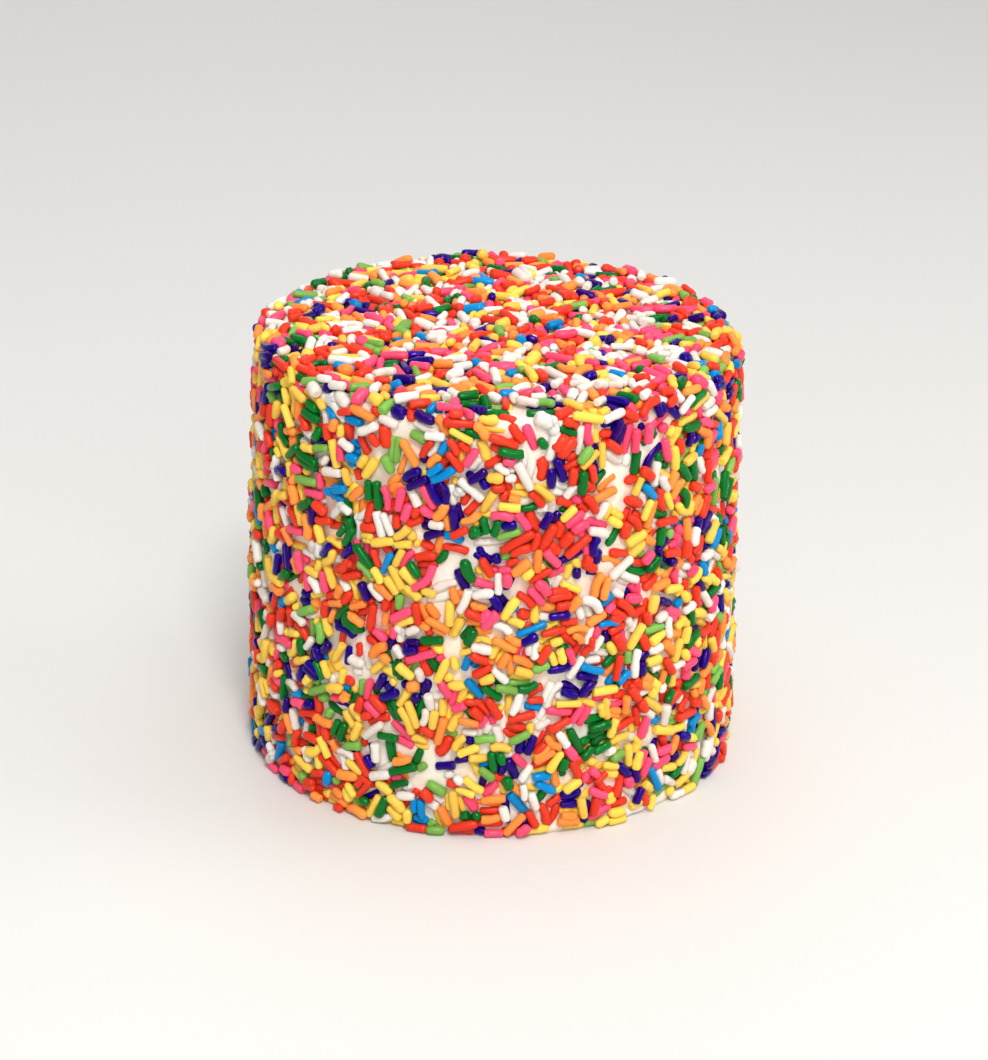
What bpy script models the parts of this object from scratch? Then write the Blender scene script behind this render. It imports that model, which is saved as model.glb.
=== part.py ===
# A small round celebration cake, frosted white and coated all over in sugar sprinkles.
# It is uncut, so it is one solid: the frosted body with its sprinkles fused on.
# Metres, +Z up. The origin is the middle of the flat base, on the surface that it stands on.

import math
import random

import bmesh
import bpy
from mathutils import Matrix, Vector

# Frosted body, out to the evened surface of the packed sprinkles
BASE_RADIUS = 0.0560
TOP_RADIUS = 0.0540
BODY_HEIGHT = 0.1000
RIM_ROUNDING = 0.0030
FOOT_BEVEL = 0.0006

# Low waves that the palette knife left in the frosting
WAVE_DEPTH = 0.0003
WAVES_AROUND = 5
WAVES_UP = 2.3
WAVE_TWIST = 3
OVAL_SHARE = 0.6
OVAL_TURN = 1.0

# Facets of the body
SIDES_AROUND = 60
ROWS_UP_SIDE = 5
ROWS_ROUND_RIM = 4
RINGS_ON_TOP = 3

# Sprinkles
SPRINKLE_RADIUS = 0.00105
SHORTEST = 0.0046
LONGEST = 0.0070
SPRINKLE_SIDES = 6
END_TAPER = 0.7
SPRINKLE_COUNT = 240
CENTRE_ABOVE_BODY = 0.00035
CLEAR_OF_TABLE = 0.0005
RIM_SLANT = math.radians(25)
TURN_JITTER = 0.02
GOLDEN_ANGLE = math.pi * (3 - math.sqrt(5))
AREA_STEPS = 400
SEED = 4

FROSTING_COLOUR = (0.93, 0.87, 0.81, 1.0)
FROSTING_ROUGHNESS = 0.45


def clear_scene():
    for old in list(bpy.data.objects):
        bpy.data.objects.remove(old)


def frosting_material():
    material = bpy.data.materials.new("frosting")
    material.use_nodes = True
    shader = material.node_tree.nodes["Principled BSDF"]
    shader.inputs["Base Color"].default_value = FROSTING_COLOUR
    shader.inputs["Roughness"].default_value = FROSTING_ROUGHNESS
    shader.inputs["Metallic"].default_value = 0.0
    return material


# The outline runs from the foot up the side, round the rim and over the top to the middle.
SIDE_LEAN = math.atan2(BASE_RADIUS - TOP_RADIUS, BODY_HEIGHT)
RIM_CENTRE = (TOP_RADIUS - RIM_ROUNDING, BODY_HEIGHT - RIM_ROUNDING)
SIDE_TOP = (
    RIM_CENTRE[0] + RIM_ROUNDING * math.cos(SIDE_LEAN),
    RIM_CENTRE[1] + RIM_ROUNDING * math.sin(SIDE_LEAN),
)
SIDE_RUN = math.hypot(BASE_RADIUS - SIDE_TOP[0], SIDE_TOP[1])
RIM_RUN = RIM_ROUNDING * (math.pi / 2 - SIDE_LEAN)
TOP_RUN = RIM_CENTRE[0]
OUTLINE_RUN = SIDE_RUN + RIM_RUN + TOP_RUN


def outline_at(run):
    """Radius and height of the outline at this distance along it, and its outward tilt from level."""
    if run <= SIDE_RUN:
        share = run / SIDE_RUN
        radius = BASE_RADIUS + (SIDE_TOP[0] - BASE_RADIUS) * share
        return radius, SIDE_TOP[1] * share, SIDE_LEAN
    if run <= SIDE_RUN + RIM_RUN:
        tilt = SIDE_LEAN + (run - SIDE_RUN) / RIM_ROUNDING
        radius = RIM_CENTRE[0] + RIM_ROUNDING * math.cos(tilt)
        return radius, RIM_CENTRE[1] + RIM_ROUNDING * math.sin(tilt), tilt
    return OUTLINE_RUN - run, BODY_HEIGHT, math.pi / 2


def wave(turn, run):
    """How far the frosting stands proud of the true outline, dying away at the foot and past the side."""
    lean = WAVE_TWIST * math.sin(WAVES_UP * 2 * math.pi * run / OUTLINE_RUN)
    around = math.sin(WAVES_AROUND * turn + lean) + OVAL_SHARE * math.sin(2 * turn + OVAL_TURN)
    return WAVE_DEPTH * around * math.sin(math.pi * min(run / SIDE_RUN, 1))


def surface_frame(turn, run):
    """Point on the body, with its outward, round-the-cake and up-the-outline directions."""
    radius, height, tilt = outline_at(run)
    radial = Vector((math.cos(turn), math.sin(turn), 0))
    outward = radial * math.cos(tilt) + Vector((0, 0, math.sin(tilt)))
    around = Vector((-math.sin(turn), math.cos(turn), 0))
    point = radial * radius + Vector((0, 0, height)) + outward * wave(turn, run)
    return point, outward, around, outward.cross(around)


def ring_runs():
    """The distances along the outline at which the body has a ring of points."""
    side = [FOOT_BEVEL + (SIDE_RUN - FOOT_BEVEL) * i / ROWS_UP_SIDE for i in range(ROWS_UP_SIDE + 1)]
    rim = [SIDE_RUN + RIM_RUN * (i + 1) / ROWS_ROUND_RIM for i in range(ROWS_ROUND_RIM)]
    top = [SIDE_RUN + RIM_RUN + TOP_RUN * (i + 1) / (RINGS_ON_TOP + 1) for i in range(RINGS_ON_TOP)]
    return side + rim + top


def mesh_object(name, mesh, material):
    bmesh.ops.recalc_face_normals(mesh, faces=mesh.faces[:])
    data = bpy.data.meshes.new(name)
    mesh.to_mesh(data)
    mesh.free()
    data.materials.append(material)
    return bpy.data.objects.new(name, data)


def make_body(material):
    mesh = bmesh.new()
    turns = [2 * math.pi * i / SIDES_AROUND for i in range(SIDES_AROUND)]
    foot = BASE_RADIUS - FOOT_BEVEL
    rings = [[mesh.verts.new((foot * math.cos(t), foot * math.sin(t), 0)) for t in turns]]
    for run in ring_runs():
        rings.append([mesh.verts.new(surface_frame(t, run)[0]) for t in turns])
    middle = mesh.verts.new((0, 0, BODY_HEIGHT))
    for i in range(SIDES_AROUND):
        j = (i + 1) % SIDES_AROUND
        for lower, upper in zip(rings, rings[1:]):
            mesh.faces.new((lower[i], lower[j], upper[j], upper[i]))
        mesh.faces.new((rings[-1][i], rings[-1][j], middle))
    mesh.faces.new(rings[0])
    bmesh.ops.triangulate(mesh, faces=mesh.faces[:])
    body = mesh_object("frosted_cake", mesh, material)
    bpy.context.scene.collection.objects.link(body)
    return body


def run_for_share(share):
    """How far along the outline this share of the turned surface's area lies behind."""
    runs = [OUTLINE_RUN * (i + 0.5) / AREA_STEPS for i in range(AREA_STEPS)]
    radii = [outline_at(run)[0] for run in runs]
    wanted, passed = share * sum(radii), 0.0
    for run, radius in zip(runs, radii):
        passed += radius
        if passed >= wanted:
            return run
    return OUTLINE_RUN


def sprinkle_places():
    """Middle, outward direction, lengthwise direction and length of each fused sprinkle.

    A golden-angle spiral spreads them evenly over side, rim and top."""
    draw = random.Random(SEED)
    places = []
    for i in range(SPRINKLE_COUNT):
        run = run_for_share((i + 0.5) / SPRINKLE_COUNT)
        turn = i * GOLDEN_ANGLE + draw.uniform(-TURN_JITTER, TURN_JITTER)
        length = draw.uniform(SHORTEST, LONGEST)
        from_rim = abs(run - SIDE_RUN - RIM_RUN / 2)
        slant = RIM_SLANT if from_rim < (RIM_RUN + length) / 2 else math.pi / 2
        angle = draw.uniform(-slant, slant)
        reach_down = SPRINKLE_RADIUS + (length / 2 - SPRINKLE_RADIUS) * abs(math.sin(angle))
        run = max(run, reach_down + CLEAR_OF_TABLE)
        point, outward, around, upward = surface_frame(turn, run)
        middle = point + outward * CENTRE_ABOVE_BODY
        places.append((middle, outward, around * math.cos(angle) + upward * math.sin(angle), length))
    return places


def make_sprinkle(place, material):
    """A sugar rod on few sides, with its rounded ends drawn in to a point."""
    middle, outward, along, length = place
    shoulder = length / 2 - END_TAPER * SPRINKLE_RADIUS
    corners = [2 * math.pi * (i + 0.5) / SPRINKLE_SIDES for i in range(SPRINKLE_SIDES)]
    mesh = bmesh.new()
    near, far = [
        [mesh.verts.new((x, SPRINKLE_RADIUS * math.cos(a), SPRINKLE_RADIUS * math.sin(a))) for a in corners]
        for x in (-shoulder, shoulder)
    ]
    near_tip = mesh.verts.new((-length / 2, 0, 0))
    far_tip = mesh.verts.new((length / 2, 0, 0))
    for i in range(SPRINKLE_SIDES):
        j = (i + 1) % SPRINKLE_SIDES
        mesh.faces.new((near[i], near[j], far[j], far[i]))
        mesh.faces.new((near[j], near[i], near_tip))
        mesh.faces.new((far[i], far[j], far_tip))
    sprinkle = mesh_object("sprinkle", mesh, material)
    turned = Matrix((along, outward.cross(along), outward)).transposed()
    sprinkle.matrix_world = Matrix.Translation(middle) @ turned.to_4x4()
    return sprinkle


def fuse(body, loose):
    """One union of the body with every loose sprinkle, applied, after which the loose ones go."""
    union = body.modifiers.new("sprinkles", "BOOLEAN")
    union.operation = "UNION"
    union.operand_type = "COLLECTION"
    union.collection = loose
    union.solver = "MANIFOLD"
    evaluated = body.evaluated_get(bpy.context.evaluated_depsgraph_get())
    fused = bpy.data.meshes.new_from_object(evaluated)
    body.modifiers.clear()
    body.data = fused
    fused.name = body.name
    for sprinkle in list(loose.objects):
        bpy.data.objects.remove(sprinkle)
    bpy.data.collections.remove(loose)


def main():
    clear_scene()
    frosting = frosting_material()
    body = make_body(frosting)
    loose = bpy.data.collections.new("loose_sprinkles")
    bpy.context.scene.collection.children.link(loose)
    for place in sprinkle_places():
        loose.objects.link(make_sprinkle(place, frosting))
    fuse(body, loose)


main()
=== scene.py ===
# Sprinkle cake: the looks of the frosted body and of the sugar sprinkles that cover it.
# Metres, +Z up, in the frame of the solid model.
import math
import random

import bpy
import numpy as np
from mathutils import Euler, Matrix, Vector, kdtree


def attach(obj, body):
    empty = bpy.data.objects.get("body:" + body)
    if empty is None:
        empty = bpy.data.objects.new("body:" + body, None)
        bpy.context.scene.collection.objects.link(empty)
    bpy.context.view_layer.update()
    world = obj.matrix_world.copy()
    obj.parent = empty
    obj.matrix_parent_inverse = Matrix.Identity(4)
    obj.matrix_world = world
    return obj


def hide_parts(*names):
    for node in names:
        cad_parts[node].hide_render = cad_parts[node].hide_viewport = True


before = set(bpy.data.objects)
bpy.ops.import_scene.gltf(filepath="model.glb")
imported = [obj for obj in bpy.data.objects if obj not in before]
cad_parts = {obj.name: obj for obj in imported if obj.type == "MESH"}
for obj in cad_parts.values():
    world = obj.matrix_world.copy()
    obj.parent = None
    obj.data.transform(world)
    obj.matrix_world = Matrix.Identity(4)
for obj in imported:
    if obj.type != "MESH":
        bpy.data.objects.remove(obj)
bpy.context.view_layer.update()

nodeName = "frosted_cake"

# The solid's own sizes, which the frosting and the sprinkles are laid out on
cake = {
    "baseRadius": 0.0560,
    "topRadius": 0.0540,
    "height": 0.1000,
    "rim": 0.0030,
    "waveDepth": 0.0003,
    "wavesAround": 5,
    "wavesUp": 2.3,
    "waveTwist": 3,
    "ovalShare": 0.6,
    "ovalTurn": 1.0,
}

# The sprinkles that the solid has too
solidSprinkles = {
    "count": 240,
    "radius": 0.00105,
    "shortest": 0.0046,
    "longest": 0.0070,
    "aboveBody": 0.00035,
    "clearOfTable": 0.0005,
    "rimSlant": math.radians(25),
    "jitter": 0.02,
    "areaSteps": 400,
    "seed": 4,
}

lean = math.atan2(cake["baseRadius"] - cake["topRadius"], cake["height"])
rimCentre = (cake["topRadius"] - cake["rim"], cake["height"] - cake["rim"])
sideTop = (rimCentre[0] + cake["rim"] * math.cos(lean), rimCentre[1] + cake["rim"] * math.sin(lean))
sideRun = math.hypot(cake["baseRadius"] - sideTop[0], sideTop[1])
rimRun = cake["rim"] * (math.pi / 2 - lean)
outlineRun = sideRun + rimRun + rimCentre[0]


def outlineAt(run):
    # radius, height and outward tilt at a distance along the outline, foot to middle of the top
    share = np.clip(run / sideRun, 0, 1)
    tilt = np.clip(lean + (run - sideRun) / cake["rim"], lean, math.pi / 2)
    radius = np.where(run <= sideRun, cake["baseRadius"] + (sideTop[0] - cake["baseRadius"]) * share,
                      rimCentre[0] + cake["rim"] * np.cos(tilt))
    radius = np.where(run > sideRun + rimRun, outlineRun - run, radius)
    height = np.where(run <= sideRun, sideTop[1] * share, rimCentre[1] + cake["rim"] * np.sin(tilt))
    return radius, height, tilt


def wave(turn, run):
    # low waves that the palette knife left
    twist = cake["waveTwist"] * np.sin(cake["wavesUp"] * 2 * math.pi * run / outlineRun)
    around = np.sin(cake["wavesAround"] * turn + twist)
    oval = cake["ovalShare"] * np.sin(2 * turn + cake["ovalTurn"])
    return cake["waveDepth"] * (around + oval) * np.sin(math.pi * np.clip(run / sideRun, 0, 1))


def surfaceAt(turn, run):
    # point, outward, round-the-cake and up-the-outline directions, as rows, and the outward tilt
    radius, height, tilt = outlineAt(run)
    zero = np.zeros_like(turn)
    outward = np.stack([np.cos(turn) * np.cos(tilt), np.sin(turn) * np.cos(tilt), np.sin(tilt)], -1)
    around = np.stack([-np.sin(turn), np.cos(turn), zero], -1)
    point = np.stack([np.cos(turn) * radius, np.sin(turn) * radius, height], -1)
    point = point + outward * wave(turn, run)[:, None]
    return point, outward, around, np.cross(outward, around), tilt


def swing(direction, towards, angle):
    # each direction, turned by its angle towards another at right angles to it
    return direction * np.cos(angle)[:, None] + towards * np.sin(angle)[:, None]


def aboveBody(points):
    # how far points lie outside the body's surface, and the outward direction and tilt there
    turn = np.arctan2(points[:, 1], points[:, 0])
    out = np.hypot(points[:, 0], points[:, 1]) - rimCentre[0]
    up = points[:, 2] - rimCentre[1]
    tilt = np.clip(np.arctan2(up, out), lean, math.pi / 2)
    nearSide = out / rimCentre[0] > up / rimCentre[1]
    tilt = np.where((out < 0) & (up < 0), np.where(nearSide, lean, math.pi / 2), tilt)
    run = np.clip(points[:, 2] * sideRun / sideTop[1], 0, sideRun)
    away = out * np.cos(tilt) + up * np.sin(tilt) - cake["rim"] - wave(turn, run) * (tilt <= lean)
    outward = np.stack([np.cos(turn) * np.cos(tilt), np.sin(turn) * np.cos(tilt), np.sin(tilt)], -1)
    return away, outward, tilt


runs = outlineRun * (np.arange(solidSprinkles["areaSteps"]) + 0.5) / solidSprinkles["areaSteps"]
areaPassed = np.cumsum(outlineAt(runs)[0])


def runForShare(share):
    # how far along the outline this share of the turned surface's area lies behind
    found = np.searchsorted(areaPassed, share * areaPassed[-1])
    return runs[np.minimum(found, len(runs) - 1)]


def placeSolidSprinkles():
    # the same rule and draws as the solid's own sprinkles, with the golden angle from one to the next
    s = solidSprinkles
    draw = random.Random(s["seed"])
    turnList, runList, lengthList, angleList = [], [], [], []
    for i in range(s["count"]):
        run = float(runForShare((i + 0.5) / s["count"]))
        turn = i * math.pi * (3 - math.sqrt(5)) + draw.uniform(-s["jitter"], s["jitter"])
        length = draw.uniform(s["shortest"], s["longest"])
        overRim = abs(run - sideRun - rimRun / 2) < (rimRun + length) / 2
        slant = s["rimSlant"] if overRim else math.pi / 2
        angle = draw.uniform(-slant, slant)
        reachDown = s["radius"] + (length / 2 - s["radius"]) * abs(math.sin(angle))
        turnList.append(turn)
        runList.append(max(run, reachDown + s["clearOfTable"]))
        lengthList.append(length)
        angleList.append(angle)
    turn, run, length, angle = (np.array(v) for v in (turnList, runList, lengthList, angleList))
    point, outward, around, upward, _ = surfaceAt(turn, run)
    return point + outward * s["aboveBody"], swing(around, upward, angle), length


# The loose cover of sprinkles, as it is drawn and lands
cover = {
    "seed": 11,
    "bands": 1500,                 # steps along the outline between which the places are drawn
    "sideDensity": 0.206e6,        # sprinkles to the square metre of side
    "footDensity": 0.44e6,
    "footBand": 0.0024,
    "rimDensity": 0.19e6,
    "topDensity": 0.262e6,
    "sideInset": 0.0009,           # the frosting lies this far inside the solid's surface
    "topInset": 0.0015,
    "meanLength": 0.0043,
    "meanLengthOnTop": 0.0039,
    "lengthSpread": 0.0011,
    "lengthLimits": (0.0024, 0.0090),
    "meanRadius": 0.00104,
    "radiusSpread": 0.10,
    "radiusCut": 2,                # no radius is further than this many spreads from the mean
    "fatShare": 0.08,
    "fatness": 1.28,
    "aboveFoot": 1.05,             # the lowest middles, in radii over the floor
    "rimSlant": 0.7,               # spread of the slant of those that lie over the rim, in radians
    "sideTip": 0.10,               # how far they tip out of the surface as they land, in radians
    "topTip": 0.34,
    "leastLift": 0.0003,
    "sidePile": 0.0020,            # how high above the frosting they start, on the side and on the top
    "topPile": 0.0045,
    "upright": 0.05,               # share of sprinkles pressed in end-on
    "uprightFrom": 0.004,          # how far from the foot those begin
    "uprightLength": 0.0042,
    "uprightTip": 0.3,
    "uprightLift": 0.0009,         # how far their outer ends stand over the frosting
    "notableLift": 0.0007,
    "notableLooseness": 0.25,      # how much the notable ones give way, against 1 for the others
    "notableClearance": 0.0013,    # no other sprinkle lands with its middle nearer than this to one
}

# How the cover presses together
settling = {
    "rounds": 130,
    "settleRounds": 90,
    "pull": 0.00006,               # how far a round draws them towards the frosting
    "restPull": 0.12,              # the share of that in the last rounds
    "pressed": (-0.0002, 0.0006),  # how far over the frosting their middles are pressed
    "deepest": 0.0004,             # an end further in than this comes out again, or the sprinkle is left out
    "rise": 0.5,
    "stickyHeight": 0.0004,        # the frosting holds what is nearer to it than this
    "stickyGrip": 0.45,            # shares of a sideways push that they follow
    "freeGrip": 0.9,
    "stiffness": 0.45,
    "sideLevelling": 0.06,
    "topLevelling": 0.025,
    "nearGap": 0.0006,             # pairs with a wider gap than this aren't watched
    "lookEvery": 15,
    "printEvery": 40,
    "leastHalf": 0.0001,
    "parallel": 0.03,              # the square of the sine of an angle that counts as none
    "leastSquare": 1e-18,          # guards against dividing by nothing
    "leastApart": 1e-9,
    "leastLoose": 1e-6,
    "topTilt": 1.0,                # surface tilted up further than this counts as top, in radians
    "highest": 0.0023,             # over the solid's surface, on the side and on the top
    "highestOnTop": 0.0027,
}

# Where the frosting shows through: turn in degrees, run and reach in millimetres, how bare
thinPatches = [
    (-79, 95, 6.5, 0.95), (-114, 92, 5.0, 0.75), (-62, 78, 6.0, 0.80), (-98, 64, 6.0, 0.80),
    (-60, 63, 5.5, 0.75), (-117, 82, 6.0, 0.65), (-101, 18, 6.0, 0.55), (-79, 32, 6.0, 0.55),
    (-131, 13, 5.5, 0.50), (-49, 17, 5.5, 0.50), (-140, 62, 6.0, 0.60), (-126, 44, 5.5, 0.50),
    (-22, 66, 6.5, 0.60), (8, 84, 7.0, 0.80), (24, 38, 6.5, 0.65), (41, 70, 6.0, 0.70),
    (57, 18, 6.0, 0.55), (66, 92, 6.5, 0.85), (83, 52, 7.0, 0.70), (99, 78, 5.5, 0.65),
    (112, 26, 6.0, 0.60), (128, 60, 6.5, 0.75), (143, 90, 6.0, 0.80), (159, 36, 6.5, 0.65),
    (176, 72, 6.0, 0.70), (190, 16, 5.5, 0.55), (203, 50, 6.0, 0.60),
]

# Single sprinkles that catch the eye: turn in degrees, run in millimetres, slant in degrees,
# length in millimetres, thickness against the mean, colour
notable = [
    (-135.0, 87.4, 2, 7.6, 1.05, "purple"), (-131.0, 98.4, 75, 4.5, 1.30, "white"),
    (-133.4, 98.1, 100, 3.6, 1.20, "white"), (-127.2, 98.8, -40, 4.5, 1.35, "white"),
    (-128.4, 95.3, -20, 6.0, 1.20, "white"), (-133.2, 91.9, -65, 6.6, 1.10, "white"),
    (-140.2, 88.4, -25, 5.0, 1.15, "white"), (-122.0, 95.2, 85, 5.0, 1.15, "white"),
    (-143.0, 110.8, 5, 8.0, 1.15, "yellow"), (-119.0, 106.1, 0, 4.4, 1.35, "light_green"),
    (-116.0, 99.9, 60, 4.5, 1.10, "light_green"), (-113.8, 98.6, 20, 3.6, 1.50, "purple"),
    (-115.0, 96.7, -8, 4.6, 1.10, "white"), (-106.0, 98.1, -25, 4.6, 1.15, "purple"),
    (-106.0, 95.0, -25, 6.5, 1.20, "white"), (-107.2, 93.3, -25, 4.2, 1.15, "light_green"),
    (-97.6, 104.0, 18, 6.0, 1.05, "purple"), (-95.0, 95.7, -20, 4.0, 1.20, "dark_green"),
    (-97.2, 93.6, 0, 3.6, 1.20, "dark_green"), (-102.0, 96.3, 85, 4.6, 1.15, "orange"),
    (-109.0, 114.1, -15, 6.6, 1.05, "purple"), (-79.2, 98.6, 15, 5.2, 1.70, "white"),
    (-76.8, 97.2, -80, 4.2, 1.35, "white"), (-77.0, 92.3, 95, 7.0, 1.15, "white"),
    (-82.0, 95.0, -25, 6.0, 1.05, "pink"), (-69.0, 94.7, 92, 5.6, 1.05, "pink"),
    (-68.4, 100.1, 90, 5.0, 1.10, "yellow"), (-66.2, 96.1, 95, 7.4, 1.00, "yellow"),
    (-63.2, 97.3, 0, 3.9, 1.15, "purple"), (-41.4, 84.4, 50, 5.2, 1.50, "light_green"),
    (-50.2, 86.0, 55, 7.0, 1.05, "purple"), (-55.6, 86.1, 88, 5.6, 1.10, "dark_green"),
    (-57.6, 92.1, 80, 7.0, 1.05, "pink"), (-68.4, 89.9, 40, 5.0, 1.10, "purple"),
    (-67.2, 87.0, 60, 4.0, 1.20, "purple"), (-79.0, 100.6, 3, 6.5, 0.90, "dark_green"),
    (-87.0, 116.4, 10, 5.5, 1.35, "purple"), (-78.4, 108.6, 30, 7.0, 1.15, "purple"),
    (-79.0, 103.3, 5, 4.5, 1.15, "purple"), (-72.4, 106.3, -35, 5.5, 1.10, "purple"),
    (-99.6, 71.9, 0, 4.4, 1.10, "blue"), (-89.6, 70.4, 2, 8.4, 1.00, "white"),
    (-99.0, 50.7, 85, 5.2, 1.20, "yellow"), (-97.0, 50.6, 85, 5.0, 1.15, "yellow"),
    (-104.2, 35.3, 80, 4.4, 1.45, "purple"), (-44.2, 3.6, 8, 5.2, 1.10, "light_green"),
    (-95.6, 1.1, -1, 6.0, 1.00, "red"), (-86.0, 5.3, 88, 6.8, 1.05, "purple"),
    (-83.2, 7.4, -60, 6.0, 1.05, "blue"), (-80.0, 6.0, -60, 6.4, 1.05, "white"),
    (-79.4, 1.2, 2, 5.6, 1.05, "yellow"), (-73.4, 4.5, 78, 5.4, 1.05, "red"),
    (-77.2, 5.2, -65, 5.2, 1.05, "red"), (-70.2, 9.3, -10, 5.0, 1.25, "purple"),
    (-66.4, 3.9, 30, 5.5, 1.05, "purple"), (-63.8, 3.3, 35, 6.0, 1.05, "pink"),
    (-93.4, 8.1, -60, 5.0, 1.20, "pink"), (-103.0, 3.2, -45, 6.4, 1.05, "yellow"),
]


def readNotable():
    turn, run, slant, length, thickness = np.array([row[:5] for row in notable]).T
    return {"turn": np.radians(turn), "run": run / 1000, "slant": np.radians(slant),
            "length": length / 1000, "radius": thickness * cover["meanRadius"],
            "name": [row[5] for row in notable]}


marked = readNotable()


def insetAt(tilt):
    # how far the frosting lies inside the solid's surface: deeper on the top, where the cover is piled
    share = (tilt - lean) / (math.pi / 2 - lean)
    return cover["sideInset"] + (cover["topInset"] - cover["sideInset"]) * share * share * (3 - 2 * share)


def coveredShare(turn, run):
    # the share of sprinkles that hold at a place, less in the thin patches
    here = surfaceAt(turn, run)[0]
    share = np.ones(len(turn))
    for patchTurn, patchRun, reach, bare in thinPatches:
        centre = surfaceAt(np.array([math.radians(patchTurn)]), np.array([patchRun / 1000]))[0]
        gap = np.linalg.norm(here - centre, axis=1) / (reach / 1000)
        share *= 1 - bare * np.exp(-gap ** 4 / 2)
    return share


def clearOfNotable(turn, run):
    # whether a sprinkle can land at each place without hiding a notable one
    centre, _, around, upward, _ = surfaceAt(marked["turn"], marked["run"])
    along = swing(around, upward, marked["slant"])
    here = surfaceAt(turn, run)[0]
    clear = np.ones(len(turn), bool)
    for middle, direction, half in zip(centre, along, marked["length"] / 2):
        offset = here - middle
        reach = np.clip(offset @ direction, -half, half)[:, None]
        clear &= np.linalg.norm(offset - reach * direction, axis=1) > cover["notableClearance"]
    return clear


def drawCover(rng):
    # random turn and run of each loose sprinkle
    bands = cover["bands"]
    fine = outlineRun * (np.arange(bands) + 0.5) / bands
    density = np.where(fine < sideRun, cover["sideDensity"],
                       np.where(fine < sideRun + rimRun, cover["rimDensity"], cover["topDensity"]))
    density = np.where(fine < cover["footBand"], cover["footDensity"], density)
    passed = np.cumsum(2 * math.pi * outlineAt(fine)[0] * density * outlineRun / bands)
    count = int(passed[-1])
    run = np.interp(rng.random(count) * passed[-1], passed, fine)
    turn = rng.random(count) * 2 * math.pi
    kept = (rng.random(count) < coveredShare(turn, run)) & clearOfNotable(turn, run)
    return turn[kept], run[kept]


def treeOf(points):
    # a search tree over points, by their numbers
    tree = kdtree.KDTree(len(points))
    for i, p in enumerate(points):
        tree.insert(p, i)
    tree.balance()
    return tree


def neighbours(middle, reach):
    # pairs of sprinkles near enough to touch
    tree = treeOf(middle)
    widest = reach.max()
    first, second = [], []
    for i, p in enumerate(middle):
        for _, j, gap in tree.find_range(p, reach[i] + widest):
            if j > i and gap < reach[i] + reach[j]:
                first.append(i)
                second.append(j)
    return np.array(first), np.array(second)


def nearestOnRods(startA, endA, startB, endB):
    # where along each of two rods their middles come nearest
    a, b, gap = endA - startA, endB - startB, startA - startB
    aa, bb, ab = (a * a).sum(1), (b * b).sum(1), (a * b).sum(1)
    ag, bg = (a * gap).sum(1), (b * gap).sum(1)
    den = aa * bb - ab * ab
    crossing = (ab * bg - ag * bb) / np.maximum(den, settling["leastSquare"])
    alongA = np.clip(np.where(den > settling["parallel"] * aa * bb, crossing, 0.5), 0, 1)
    alongB = np.clip((ab * alongA + bg) / bb, 0, 1)
    alongA = np.clip((ab * alongB - ag) / aa, 0, 1)
    return alongA, alongB


def pushApart(start, end, radius, loose, pairs):
    # moves of both ends of each rod that part those that overlap
    i, j = pairs
    s, t = nearestOnRods(start[i], end[i], start[j], end[j])
    gap = start[i] + (end[i] - start[i]) * s[:, None] - start[j] - (end[j] - start[j]) * t[:, None]
    apart = np.linalg.norm(gap, axis=1)
    overlap = radius[i] + radius[j] - apart
    hit = overlap > 0
    i, j, s, t, gap, apart, overlap = (v[hit] for v in (i, j, s, t, gap, apart, overlap))
    move = gap / np.maximum(apart, settling["leastApart"])[:, None] * overlap[:, None]
    total = np.maximum(loose[i] + loose[j], settling["leastLoose"])
    moves = []
    for weights in ((1 - s, 1 - t), (s, t)):
        result = np.zeros_like(start)
        for who, where, other, sign in ((i, s, 0, 1), (j, t, 1, -1)):
            even = (1 - where) ** 2 + where ** 2
            amount = sign * loose[who] / total * weights[other] / even
            for axis in range(3):
                result[:, axis] += np.bincount(who, amount * move[:, axis], len(start))
        moves.append(result)
    return moves[0], moves[1], overlap


def cutNormal(rng, size, limit):
    # normal draws, with their tails cut at a limit
    return rng.normal(size=size).clip(-limit, limit)


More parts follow.
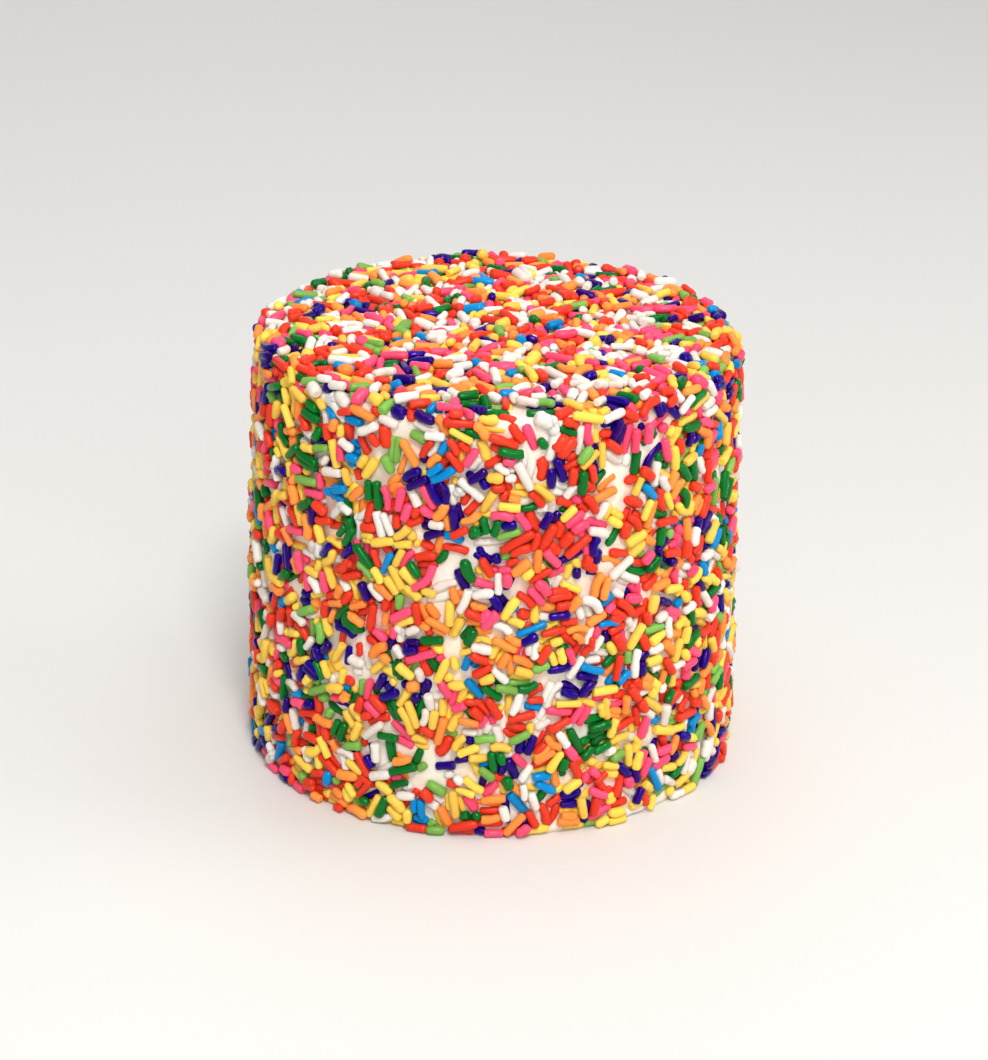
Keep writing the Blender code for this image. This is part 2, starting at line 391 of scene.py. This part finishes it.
def landing(rng):
    # the loose sprinkles as they land: middle, direction, length, radius, whether end-on, colour name
    turn, run = drawCover(rng)
    count = len(turn)
    onTop = run > sideRun + rimRun / 2
    low, high = cover["lengthLimits"]
    meanLength = np.where(onTop, cover["meanLengthOnTop"], cover["meanLength"])
    length = np.clip(rng.normal(meanLength, cover["lengthSpread"]), low, high)
    radius = cover["meanRadius"] * (1 + cover["radiusSpread"] * cutNormal(rng, count, cover["radiusCut"]))
    radius = np.where(rng.random(count) < cover["fatShare"], radius * cover["fatness"], radius)
    run = np.maximum(run, radius * cover["aboveFoot"])
    standing = (rng.random(count) < cover["upright"]) & (run > cover["uprightFrom"])
    length = np.where(standing, np.minimum(length, cover["uprightLength"]), length)
    angle = rng.uniform(0, math.pi, count)
    nearRim = np.abs(run - sideRun - rimRun / 2) < (rimRun + length) / 2
    angle = np.where(nearRim, rng.normal(0, cover["rimSlant"], count), angle)
    steepest = np.arcsin(np.clip((run - radius) / (length / 2), 0, 1))
    angle = np.where(run < length / 2, steepest * rng.uniform(-1, 1, count), angle)
    tip = rng.normal(0, 1, count)
    lyingTip = tip * np.where(onTop, cover["topTip"], cover["sideTip"])
    tip = np.where(standing, math.pi / 2 + cover["uprightTip"] * tip, lyingTip)
    lift = cover["leastLift"] + np.where(onTop, cover["topPile"], cover["sidePile"]) * rng.random(count)
    lift = np.where(standing, cover["uprightLift"] - length / 2, lift)

    # the notable ones land last, on top
    extra = len(notable)
    turn = np.concatenate([turn, marked["turn"]])
    run = np.concatenate([run, marked["run"]])
    angle = np.concatenate([angle, marked["slant"]])
    length = np.concatenate([length, marked["length"]])
    radius = np.concatenate([radius, marked["radius"]])
    tip = np.concatenate([tip, np.zeros(extra)])
    lift = np.concatenate([lift, np.full(extra, cover["notableLift"])])
    standing = np.concatenate([standing, np.zeros(extra, bool)])
    names = [""] * count + marked["name"]

    point, outward, around, upward, tilt = surfaceAt(turn, run)
    along = swing(swing(around, upward, angle), outward, tip)
    middle = point + outward * (lift - insetAt(tilt))[:, None]
    return middle, along, length, radius, standing, names


def settle():
    # lays out every sprinkle, then lets them press together without passing through each other
    rng = np.random.default_rng(cover["seed"])
    middle, along, length = placeSolidSprinkles()
    pinned = len(middle)
    landed = landing(rng)
    middle = np.concatenate([middle, landed[0]])
    along = np.concatenate([along, landed[1]])
    length = np.concatenate([length, landed[2]])
    radius = np.concatenate([np.full(pinned, solidSprinkles["radius"]), landed[3]])
    fixed = np.concatenate([np.ones(pinned, bool), landed[4]])
    names = np.array([""] * pinned + landed[5])
    eyeCatching = names != ""
    half = np.maximum(length / 2 - radius, settling["leastHalf"])
    pressed = rng.uniform(*settling["pressed"], len(middle))
    loose = np.where(fixed, 0.0, np.where(eyeCatching, cover["notableLooseness"], 1.0))
    onTop = middle[:, 2] > rimCentre[1]
    levelling = np.where(onTop, settling["topLevelling"], settling["sideLevelling"]) * (~fixed)
    first, last = middle - along * half[:, None], middle + along * half[:, None]
    rounds = settling["rounds"] + settling["settleRounds"]
    for step in range(rounds):
        middle = (first + last) / 2
        if step % settling["lookEvery"] == 0:
            one, two = neighbours(middle, half + radius + settling["nearGap"])
            apart = ~(eyeCatching[one] & (names[one] == names[two]))   # notable ones of a colour may fuse
            pairs = one[apart], two[apart]
        moveA, moveB, overlap = pushApart(first, last, radius, loose, pairs)
        awayA, outA, tiltA = aboveBody(first)
        awayB, outB, tiltB = aboveBody(last)
        overA, overB = awayA + insetAt(tiltA) - pressed, awayB + insetAt(tiltB) - pressed
        held = np.minimum(overA, overB) < settling["stickyHeight"]
        grip = np.where(held, settling["stickyGrip"], settling["freeGrip"])[:, None]
        pull = settling["pull"] * (1 if step < settling["rounds"] else settling["restPull"])
        # a push out of the surface counts in full, and the frosting holds back one along it
        for ends, moves, over, out in ((first, moveA, overA, outA), (last, moveB, overB, outB)):
            moves = moves * settling["stiffness"]
            lift = (moves * out).sum(1)[:, None] * out
            moves = lift + (moves - lift) * grip
            down = np.minimum(np.maximum(over, 0), pull)
            up = np.maximum(-settling["deepest"] - over, 0) * settling["rise"]
            ends += (moves + out * (up - down)[:, None]) * (~fixed)[:, None]
            ends[:, 2] = np.maximum(ends[:, 2], radius)
        # what tips out of the surface lies down a little
        level = ((awayA - awayB) * levelling / 2)[:, None]
        first -= outA * level
        last += outB * level
        middle = (first + last) / 2
        along = last - first
        along /= np.linalg.norm(along, axis=1)[:, None]
        first, last = middle - along * half[:, None], middle + along * half[:, None]
        if step % settling["printEvery"] == 0 or step == rounds - 1:
            print("settling", step, "pairs", len(pairs[0]), "touching", len(overlap),
                  "mean overlap mm", round(float(overlap.mean() * 1000), 3))
    awayA, _, tiltA = aboveBody(first)
    awayB, _, tiltB = aboveBody(last)
    proud = np.maximum(awayA, awayB) + radius
    # of what stands too proud, the notable ones are pressed in and the others left out
    limit = np.where(tiltA > settling["topTilt"], settling["highestOnTop"], settling["highest"])
    middle -= outA * (np.maximum(proud - limit, 0) * eyeCatching)[:, None]
    deep = -np.minimum(awayA + insetAt(tiltA), awayB + insetAt(tiltB))
    keep = ((proud < limit) & (deep < settling["deepest"])) | fixed | eyeCatching
    print("kept", keep.sum(), "of", len(keep), "highest mm", round(float(proud[keep].max() * 1000), 2))
    everything = {"middle": middle, "along": along, "outward": aboveBody(middle)[1], "length": length,
                  "radius": radius, "pinned": np.arange(len(keep)) < pinned, "name": names}
    return {kind: values[keep] for kind, values in everything.items()}


layout = settle()
print("laid out", len(layout["length"]), "sprinkles")


# Colours: how many of each on the side and on the top, their colour in linear light, and their surface
sprinkleColours = {
    "white": {"share": 14, "topShare": 23.5, "colour": (0.71, 0.617, 0.553), "gloss": 0.42, "shine": 0.28,
              "darkest": (0.95, 0.94, 0.92), "glow": 0.55, "glowReach": (1.0, 0.92, 0.85)},
    "yellow": {"share": 22, "topShare": 14, "colour": (0.87, 0.545, 0.072), "gloss": 0.40, "shine": 0.25,
               "shineTint": (1, 0.95, 0.8, 1)},
    "orange": {"share": 10.6, "topShare": 12.3, "colour": (0.93, 0.262, 0.045), "gloss": 0.40, "shine": 0.25,
               "shineTint": (1, 0.85, 0.7, 1)},
    "red": {"share": 20, "topShare": 19.7, "colour": (0.73, 0.036, 0.012), "gloss": 0.34, "shine": 0.28,
            "shineTint": (1, 0.75, 0.7, 1)},
    "pink": {"share": 9.5, "topShare": 13.5, "colour": (0.91, 0.066, 0.152), "gloss": 0.34, "shine": 0.30,
             "shineTint": (1, 0.8, 0.85, 1)},
    "light_green": {"share": 3.6, "topShare": 5.2, "colour": (0.183, 0.39, 0.062), "gloss": 0.34,
                    "shine": 0.28, "shineTint": (0.85, 1, 0.8, 1)},
    "dark_green": {"share": 8.3, "topShare": 4.6, "colour": (0.001, 0.128, 0.012), "gloss": 0.18,
                   "shine": 0.34, "shineTint": (0.4, 1, 0.55, 1),
                   "darkest": (1, 0.70, 0.72), "lightest": (1, 1.30, 1.50)},
    "blue": {"share": 4.2, "topShare": 3.3, "colour": (0.001, 0.206, 0.50), "gloss": 0.21, "shine": 0.32,
             "shineTint": (0.35, 0.85, 1, 1)},
    "purple": {"share": 8.6, "topShare": 6.5, "colour": (0.006, 0.0001, 0.106), "gloss": 0.13,
               "shine": 0.60, "shineTint": (0.42, 0.17, 1, 1),
               "darkest": (2.6, 1, 0.72), "lightest": (0.5, 1, 1.75)},
}

shapes = {
    "seed": 23,
    "ends": ((0.0, 0.40), (0.20, 0.76), (0.62, 0.97)),   # distance from the tip and thickness, in radii
    "endShare": 0.3,               # an end takes up at most this share of the length
    "waist": (0.38, 0.62),         # where the thickness is set between the ends
    "bluntness": 0.5,
    "lumpiness": 0.07,
    "lumpCut": 1.5,                # where the tails of the lumps and of the taper are cut, in spreads
    "taper": 0.06,
    "taperCut": 2,
    "straight": 0.50,              # share that is nearly straight
    "slightBend": 0.015,           # sagitta over length of those, and of the bent ones
    "bend": 0.10,
    "mostBend": 0.2,
    "endOn": 0.2,                  # a sprinkle whose angle to the surface has a smaller cosine stands end-on
    "endOnBend": (0.3, 0.5, 0.8),  # and bends at right angles to this
    "sameAsNeighbour": 0.17,
    "handful": 120,                # neighbours that share out the colours evenly between them
    "fused": 0.07,                 # share that dried stuck to another of its colour
    "fusedLying": 0.5,             # only those whose angle to the surface has a greater cosine than this
    "fusedGap": 1.15,
    "fusedAngled": 0.45,           # share of the pairs that meet end to end, and the angles between those
    "fusedAngles": (0.7, 1.7),
    "fusedAskew": 0.15,
    "fusedLength": (0.6, 1.0),     # the second one against the first
    "fusedThickness": (0.85, 1.05),
    "sides": 8,
    "dents": 0.00008,
    "dentSize": 700.0,
}


def pickColours(rng, middle, names):
    # a colour for each sprinkle, now and then the one beside it
    onTop = middle[:, 2] > rimCentre[1]
    picked = np.zeros(len(middle), int)
    for kind, where in (("share", ~onTop), ("topShare", onTop)):
        shares = np.cumsum([c[kind] for c in sprinkleColours.values()])
        who = np.flatnonzero(where)
        who = who[np.argsort(np.arctan2(middle[who, 1], middle[who, 0]))]
        for start in range(0, len(who), shapes["handful"]):
            group = who[start:start + shapes["handful"]]
            place = (rng.permutation(len(group)) + rng.random(len(group))) / len(group)
            picked[group] = np.searchsorted(shares[:-1], place * shares[-1])
    tree = treeOf(middle)
    for i in np.flatnonzero(rng.random(len(middle)) < shapes["sameAsNeighbour"]):
        nearest = tree.find_n(middle[i], 2)[1]
        picked[i] = picked[nearest[1]]
    for number, name in enumerate(sprinkleColours):
        picked[names == name] = number
    return picked


def addFused(rng, lay, picked):
    # some sprinkles dried stuck together, side by side or end to end at an angle
    stuck = (rng.random(len(picked)) < shapes["fused"]) & ~lay["pinned"] & (lay["name"] == "")
    who = np.flatnonzero(stuck)
    beside = np.cross(lay["outward"][who], lay["along"][who])
    size = np.linalg.norm(beside, axis=1)
    lying = size > shapes["fusedLying"]
    who, beside = who[lying], beside[lying] / size[lying][:, None]
    along, length, radius = lay["along"][who], lay["length"][who], lay["radius"][who]
    count = len(who)
    angled = rng.random(count) < shapes["fusedAngled"]
    angle = np.where(angled, rng.choice([-1, 1], count) * rng.uniform(*shapes["fusedAngles"], count),
                     rng.normal(0, shapes["fusedAskew"], count))
    turned = swing(along, beside, angle)
    newLength = length * rng.uniform(*shapes["fusedLength"], count)
    sideBySide = beside * (shapes["fusedGap"] * radius)[:, None]
    endToEnd = along * (length / 2 - radius)[:, None] + turned * (newLength / 2 - radius)[:, None]
    fused = {
        "middle": lay["middle"][who] + np.where(angled[:, None], endToEnd, sideBySide),
        "along": turned,
        "outward": lay["outward"][who],
        "length": newLength,
        "radius": radius * rng.uniform(*shapes["fusedThickness"], count),
        "pinned": np.zeros(count, bool),
        "name": lay["name"][who],
    }
    return {k: np.concatenate([lay[k], fused[k]]) for k in lay}, np.concatenate([picked, picked[who]])


def centrelines(rng, lay):
    # points along each sprinkle and its thickness at each, from tip to tip
    count = len(lay["length"])
    length, radius = lay["length"][:, None], lay["radius"][:, None]
    blunt = shapes["bluntness"] * rng.random((count, 2)) ** 2
    longest = length * shapes["endShare"]
    near = [np.minimum(d * (1 - blunt[:, :1]) * radius, longest) for d, _ in shapes["ends"]]
    far = [length - np.minimum(d * (1 - blunt[:, 1:]) * radius, longest) for d, _ in shapes["ends"][::-1]]
    waist = [length * share for share in shapes["waist"]]
    station = np.concatenate(near + waist + far, 1) - length / 2
    thickNear = [w + (1 - w) * blunt[:, :1] for _, w in shapes["ends"]]
    thickMiddle = 1 + shapes["lumpiness"] * cutNormal(rng, (count, 2), shapes["lumpCut"])
    thickFar = [w + (1 - w) * blunt[:, 1:] for _, w in shapes["ends"][::-1]]
    thick = np.concatenate(thickNear + [thickMiddle] + thickFar, 1) * radius
    taper = shapes["taper"] * cutNormal(rng, (count, 1), shapes["taperCut"]) * ~lay["pinned"][:, None]
    thick = thick * (1 + taper * station / length * 2)
    beside = np.cross(lay["outward"], lay["along"])
    size = np.linalg.norm(beside, axis=1)[:, None]
    endOn = np.cross(lay["along"], shapes["endOnBend"])
    beside = np.where(size > shapes["endOn"], beside / np.maximum(size, shapes["endOn"]), endOn)
    straight = rng.random(count) < shapes["straight"]
    sag = np.where(straight, shapes["slightBend"], shapes["bend"]) * rng.normal(size=count)
    sag = np.where(lay["pinned"], 0, sag.clip(-shapes["mostBend"], shapes["mostBend"]))
    # less a third, so that on average a bent sprinkle stays where it lies
    curve = (station / length * 2) ** 2 - 1 / 3
    points = lay["middle"][:, None, :] + lay["along"][:, None, :] * station[:, :, None]
    points = points + beside[:, None, :] * (curve * sag[:, None] * length)[:, :, None]
    sunk = np.maximum((thick - points[:, :, 2]).max(1) + shapes["dents"], 0)
    points[:, :, 2] += sunk[:, None]
    return points, thick


# Node trees: one wrapper serves the shader sheets and the Geometry Nodes
class Wire:
    def __init__(self, sheet, socket):
        self.sheet = sheet
        self.socket = socket

    def maths(self, operation, first, second):
        return self.sheet.add("ShaderNodeMath", {"operation": operation}, {0: first, 1: second})

    def __add__(self, other):
        return self.maths("ADD", self, other)

    __radd__ = __add__

    def __sub__(self, other):
        return self.maths("SUBTRACT", self, other)

    def __rsub__(self, other):
        return self.maths("SUBTRACT", other, self)

    def __mul__(self, other):
        return self.maths("MULTIPLY", self, other)

    __rmul__ = __mul__


class Sheet:
    def __init__(self, tree):
        self.tree = tree

    def add(self, kind, settings=None, values=None, take=0):
        # any node: its settings first, then the values or links of its sockets
        node = self.tree.nodes.new(kind)
        for name, value in (settings or {}).items():
            setattr(node, name, value)
        for key, value in (values or {}).items():
            socket = node.inputs[key] if isinstance(key, int) else next(
                s for s in node.inputs if s.identifier == key)
            if isinstance(value, Wire):
                self.tree.links.new(value.socket, socket)
            else:
                socket.default_value = value
        return Wire(self, node.outputs[take])

    def noise(self, where, scale, detail, distortion=0.0):
        return self.add("ShaderNodeTexNoise", {}, {"Vector": where, "Scale": scale, "Detail": detail,
                                                   "Distortion": distortion})

    def mixColours(self, factor, first, second):
        return self.add("ShaderNodeMix", {"data_type": "RGBA"},
                        {"Factor_Float": factor, "A_Color": first, "B_Color": second}, take=2)


def newMaterial(name):
    material = bpy.data.materials.new(name)
    material.use_nodes = True
    shader = material.node_tree.nodes["Principled BSDF"]
    return material, Sheet(material.node_tree), shader


def connect(sheet, wire, shader, name):
    sheet.tree.links.new(wire.socket, shader.inputs[name])


def setGlow(shader, look):
    shader.inputs["Subsurface Weight"].default_value = look["glow"]
    shader.inputs["Subsurface Radius"].default_value = look["glowReach"]
    shader.inputs["Subsurface Scale"].default_value = look["glowScale"]


def setGrain(sheet, shader, height, look):
    bump = sheet.add("ShaderNodeBump", {}, {"Strength": look["grain"], "Distance": look["grainDepth"],
                                            "Height": height})
    connect(sheet, bump, shader, "Normal")


def scaled(colour, factors):
    # a colour times three factors, no channel over 1, with the alpha
    return tuple(min(c * k, 1) for c, k in zip(colour, factors)) + (1,)


# The surface that every colour has, unless its own settings differ
sugar = {
    "shineTint": (1, 1, 1, 1),
    "darkest": (0.86, 0.80, 0.80),   # what the colour is multiplied by in the darkest and lightest sprinkles
    "lightest": (1.05, 1.18, 1.20),
    "tinting": 0.75,                 # shares of one sprinkle's tint and of the mottling in that range
    "mottling": 0.5,
    "mottleOffset": 0.12,
    "mottleScale": 700.0,
    "mottleDetail": 3.0,
    "glossMottling": 0.25,
    "glossOffset": 0.12,
    "fineScale": 1800.0,
    "fineDetail": 2.0,
    "grain": 0.6,
    "grainDepth": 0.0001,
    "glow": 0.15,
    "glowReach": (1.0, 0.7, 0.5),
    "glowScale": 0.0008,
}


def sugarMaterial(name, look):
    # satin sugar: a little lighter or darker from one sprinkle to the next, with faint mottling
    material, sheet, shader = newMaterial(name)
    where = sheet.add("ShaderNodeTexCoord", take=3)
    tint = sheet.add("ShaderNodeAttribute", {"attribute_name": "tint"}, take=2)
    mottle = sheet.noise(where, look["mottleScale"], look["mottleDetail"])
    lightness = tint * look["tinting"] + mottle * look["mottling"] - look["mottleOffset"]
    colour = sheet.mixColours(lightness, scaled(look["colour"], look["darkest"]),
                              scaled(look["colour"], look["lightest"]))
    connect(sheet, colour, shader, "Base Color")
    roughness = mottle * look["glossMottling"] + (look["gloss"] - look["glossOffset"])
    connect(sheet, roughness, shader, "Roughness")
    fine = sheet.noise(where, look["fineScale"], look["fineDetail"])
    setGrain(sheet, shader, fine + mottle, look)
    shader.inputs["Specular IOR Level"].default_value = look["shine"]
    shader.inputs["Specular Tint"].default_value = look["shineTint"]
    setGlow(shader, look)
    return material


# Sprinkle bodies
def rodTree():
    # sweeps a round section along every polyline, dents it a little and gives it its material
    tree = bpy.data.node_groups.new("sugarRods", "GeometryNodeTree")
    face = tree.interface
    face.new_socket("Centrelines", in_out="INPUT", socket_type="NodeSocketGeometry")
    face.new_socket("Sides", in_out="INPUT", socket_type="NodeSocketInt")
    face.new_socket("Dent depth", in_out="INPUT", socket_type="NodeSocketFloat")
    face.new_socket("Dents to the metre", in_out="INPUT", socket_type="NodeSocketFloat")
    face.new_socket("Material", in_out="INPUT", socket_type="NodeSocketMaterial")
    face.new_socket("Rods", in_out="OUTPUT", socket_type="NodeSocketGeometry")
    sheet = Sheet(tree)
    given = tree.nodes.new("NodeGroupInput")
    lines, sides, dentDepth, dentScale, material = (Wire(sheet, given.outputs[i]) for i in range(5))
    thickness = sheet.add("GeometryNodeInputNamedAttribute", {"data_type": "FLOAT"},
                          {"Name": "thickness"})
    curves = sheet.add("GeometryNodeMeshToCurve", {}, {"Mesh": lines})
    ring = sheet.add("GeometryNodeCurvePrimitiveCircle", {"mode": "RADIUS"},
                     {"Resolution": sides, "Radius": 1.0})
    swept = sheet.add("GeometryNodeCurveToMesh", {}, {"Curve": curves, "Profile Curve": ring,
                                                      "Scale": thickness, "Fill Caps": True})
    noise = sheet.add("ShaderNodeTexNoise", {}, {"Scale": dentScale, "Detail": 1.0})
    normal = sheet.add("GeometryNodeInputNormal")
    push = sheet.add("ShaderNodeVectorMath", {"operation": "SCALE"},
                     {"Vector": normal, "Scale": (noise - 0.5) * 2.0 * dentDepth})
    dented = sheet.add("GeometryNodeSetPosition", {}, {"Geometry": swept, "Offset": push})
    smooth = sheet.add("GeometryNodeSetShadeSmooth", {}, {"Geometry": dented})
    real = sheet.add("GeometryNodeRealizeInstances", {}, {"Geometry": smooth})
    done = sheet.add("GeometryNodeSetMaterial", {}, {"Geometry": real, "Material": material})
    out = tree.nodes.new("NodeGroupOutput")
    tree.links.new(done.socket, out.inputs[0])
    return tree


def grow(thing, tree, values):
    # runs a Geometry Nodes tree on an object and keeps the result as plain mesh
    modifier = thing.modifiers.new("grow", "NODES")
    modifier.node_group = tree
    sockets = {item.name: item.identifier for item in tree.interface.items_tree if item.in_out == "INPUT"}
    for name, value in values.items():
        modifier[sockets[name]] = value
    evaluated = thing.evaluated_get(bpy.context.evaluated_depsgraph_get())
    mesh = bpy.data.meshes.new_from_object(evaluated)
    thing.modifiers.clear()
    thing.data = mesh
    mesh.name = thing.name
    return thing


def newThing(name, mesh):
    thing = bpy.data.objects.new(name, mesh)
    bpy.context.scene.collection.objects.link(thing)
    return thing


def makeSprinkles(name, points, thick, tint, tree, material):
    count, stations = thick.shape
    mesh = bpy.data.meshes.new(name)
    index = np.arange(count * stations).reshape(count, stations)
    edges = np.stack([index[:, :-1].ravel(), index[:, 1:].ravel()], 1)
    mesh.from_pydata(points.reshape(-1, 3), edges, [])
    mesh.attributes.new("thickness", "FLOAT", "POINT").data.foreach_set("value", thick.ravel())
    mesh.attributes.new("tint", "FLOAT", "POINT").data.foreach_set("value", np.repeat(tint, stations))
    thing = newThing(name, mesh)
    return grow(thing, tree, {"Sides": shapes["sides"], "Dent depth": shapes["dents"],
                              "Dents to the metre": shapes["dentSize"], "Material": material})


rng = np.random.default_rng(shapes["seed"])
picked = pickColours(rng, layout["middle"], layout["name"])
layout, picked = addFused(rng, layout, picked)
points, thick = centrelines(rng, layout)
tint = rng.random(len(picked))
tree = rodTree()
pieces = []
for number, (colourName, own) in enumerate(sprinkleColours.items()):
    mine = picked == number
    name = "sprinkles_" + colourName
    material = sugarMaterial(name, {**sugar, **own})
    piece = makeSprinkles(name, points[mine], thick[mine], tint[mine], tree, material)
    pieces.append(piece)
    print(name, int(mine.sum()), "rods", len(piece.data.polygons), "faces")


# Frosting under the sprinkles
frosting = {
    "around": 288,
    "step": 0.00125,
    "ripple": 0.0001,
    "ripples": ((23, 310, 0), (31, -540, 1)),   # how fast each runs round and up the cake, and its start
    "comb": (900, 3, 9),                        # how fast a wave runs, and how far and fast it sways
    "swell": 0.00015,
    "swellAround": (11, 4, 120),
    "swellUp": (260, 2, 5),
    "colour": (0.97, 0.89, 0.77),
    "cloudScale": 260.0,
    "cloudDetail": 4.0,
    "roughness": 0.4,
    "clouding": 0.2,
    "smearScale": 420.0,
    "smearDetail": 3.0,
    "smearing": 1.5,
    "grain": 0.5,
    "grainDepth": 0.0004,
    "glow": 0.5,
    "glowReach": (1.0, 0.8, 0.6),
    "glowScale": 0.0015,
    # painted reflected light from the sprinkles: how far it reaches, how strongly it tints the frosting, and
    # from how many sprinkles
    "paintedBounceReach": 0.0028,
    "paintedBounceShare": 0.21,
    "paintedBounceFrom": 4,                             # how many sprinkles colour each spot
}


def frostingMaterial():
    material, sheet, shader = newMaterial("buttercream")
    where = sheet.add("ShaderNodeTexCoord", take=3)
    # painted reflected light: the sprinkles' colours painted onto the frosting's points, mixed into its
    # colour in clouds
    paintedBounce = sheet.add("ShaderNodeAttribute", {"attribute_name": "paintedBounce"}, take=0)
    cloud = sheet.noise(where, frosting["cloudScale"], frosting["cloudDetail"])
    plain = frosting["colour"] + (1,)
    # twice, because the noise is a half on average
    colour = sheet.mixColours(cloud * frosting["paintedBounceShare"] * 2.0, plain, paintedBounce)
    connect(sheet, colour, shader, "Base Color")
    connect(sheet, cloud * frosting["clouding"] + frosting["roughness"], shader, "Roughness")
    smear = sheet.noise(where, frosting["smearScale"], frosting["smearDetail"], frosting["smearing"])
    setGrain(sheet, shader, smear, frosting)
    setGlow(shader, frosting)
    return material


def swaying(along, across, numbers):
    # a wave in one direction that sways with another
    fast, sway, swayFast = numbers
    return np.sin(fast * along + sway * np.sin(swayFast * across))


def makeFrosting():
    around = frosting["around"]
    rows = int(outlineRun / frosting["step"])
    run = np.linspace(0, outlineRun, rows + 1)[:-1]
    turn = np.arange(around) * 2 * math.pi / around
    runGrid, turnGrid = (v.ravel() for v in np.meshgrid(run, turn, indexing="ij"))
    point, outward, _, _, tilt = surfaceAt(turnGrid, runGrid)
    ripple = sum(np.sin(wide * turnGrid + high * runGrid + start)
                 for wide, high, start in frosting["ripples"])
    ripple = ripple + swaying(runGrid, turnGrid, frosting["comb"])
    swell = (swaying(turnGrid, runGrid, frosting["swellAround"])
             * swaying(runGrid, turnGrid, frosting["swellUp"]))
    rise = ripple * frosting["ripple"] + swell * frosting["swell"] - insetAt(tilt)
    point = point + outward * rise[:, None]
    point[:, 2] = np.where(runGrid == 0, 0, np.maximum(point[:, 2], 0))
    vertices = [tuple(p) for p in point]
    faces = []
    for row in range(rows - 1):
        low, high = row * around, (row + 1) * around
        for i in range(around):
            j = (i + 1) % around
            faces.append((low + i, low + j, high + j, high + i))
    last = (rows - 1) * around
    vertices.append((0, 0, cake["height"] - cover["topInset"]))
    faces += [(last + i, last + (i + 1) % around, len(vertices) - 1) for i in range(around)]
    vertices.append((0, 0, 0))
    faces += [((i + 1) % around, i, len(vertices) - 1) for i in range(around)]
    mesh = bpy.data.meshes.new("frosting")
    mesh.from_pydata(vertices, [], faces)
    mesh.shade_smooth()
    return newThing("frosting", mesh)


def paintBounceColours(mesh, lay, picked):
    # painted reflected light: each spot of the frosting takes on the colour of the sprinkles round it, as
    # the light they throw onto it would tint it
    colours = np.array([c["colour"] for c in sprinkleColours.values()])[picked]
    tree = treeOf(lay["middle"])
    tints = np.ones((len(mesh.vertices), 4))
    for n, v in enumerate(mesh.vertices):
        near = tree.find_n(v.co, frosting["paintedBounceFrom"])
        who = [i for _, i, _ in near]
        weight = np.exp(-np.array([d for _, _, d in near]) / frosting["paintedBounceReach"])
        tints[n, :3] = (colours[who] * weight[:, None]).sum(0) / weight.sum()
    mesh.attributes.new("paintedBounce", "FLOAT_COLOR", "POINT").data.foreach_set("color", tints.ravel())


body = makeFrosting()
paintBounceColours(body.data, layout, picked)
body.data.materials.append(frostingMaterial())
pieces.append(body)
print("frosting", len(body.data.polygons), "faces")

for piece in pieces:
    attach(piece, "root")
    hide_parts(nodeName)


# Floor, light and camera
studio = {
    "floor": 6.0,
    "floorColour": (0.69, 0.675, 0.645, 1),
    "floorRoughness": 0.6,
    "sky": (0.93, 0.95, 1.0, 1),
    "skyStrength": 0.44,
    "aim": (0, 0, 0.05),           # where the lamps point
    "lights": {
        "overhead": {"at": (0.12, 0.05, 1.3), "size": 1.2, "power": 5.6, "colour": (1.0, 0.98, 0.95)},
        "back": {"at": (-0.35, 1.35, 0.75), "size": 1.2, "power": 2.6, "colour": (1.0, 0.98, 0.96)},
        "front": {"at": (0.26, -1.25, 0.75), "size": 1.1, "power": 8.0, "colour": (1.0, 0.97, 0.94)},
        "side": {"at": (1.2, 0.0, 0.6), "size": 0.8, "power": 4.6, "colour": (1.0, 0.97, 0.93)},
        "glint": {"at": (0.10, -0.75, 1.0), "size": 0.26, "power": 8.3, "colour": (1.0, 1.0, 1.0)},
    },
}


def makeFloor():
    half = studio["floor"] / 2
    mesh = bpy.data.meshes.new("floor")
    corners = [(-half, -half, 0), (half, -half, 0), (half, half, 0), (-half, half, 0)]
    mesh.from_pydata(corners, [], [(0, 1, 2, 3)])
    floor = newThing("floor", mesh)
    material, _, shader = newMaterial("pale_floor")
    shader.inputs["Base Color"].default_value = studio["floorColour"]
    shader.inputs["Roughness"].default_value = studio["floorRoughness"]
    mesh.materials.append(material)


def makeLights():
    for name, light in studio["lights"].items():
        data = bpy.data.lights.new(name, "AREA")
        data.shape = "DISK"
        data.size = light["size"]
        data.energy = light["power"]
        data.color = light["colour"]
        lamp = newThing(name, data)
        lamp.location = light["at"]
        towards = Vector(studio["aim"]) - lamp.location
        lamp.rotation_euler = towards.to_track_quat("-Z", "Y").to_euler()
    world = bpy.data.worlds.new("studio")
    world.use_nodes = True
    background = world.node_tree.nodes["Background"]
    background.inputs["Color"].default_value = studio["sky"]
    background.inputs["Strength"].default_value = studio["skyStrength"]
    bpy.context.scene.world = world


view = {
    "away": 0.6438,
    "height": 0.3269,
    "down": 23.24,
    "roll": 1.14,
    "lens": 101.9,
    "sensor": 36.0,
    "clip": 0.01,
}


def makeCamera():
    data = bpy.data.cameras.new("camera")
    data.lens = view["lens"]
    data.sensor_width = view["sensor"]
    data.clip_start = view["clip"]
    camera = newThing("camera", data)
    pitch = Euler((math.radians(90 - view["down"]), 0, 0)).to_matrix()
    roll = Euler((0, 0, math.radians(view["roll"]))).to_matrix()
    camera.matrix_world = (pitch @ roll).to_4x4()
    camera.location = (0, -view["away"], view["height"])
    bpy.context.scene.camera = camera


makeFloor()
makeLights()
makeCamera()
bpy.context.scene.view_settings.view_transform = "Standard"
print("stage ready")
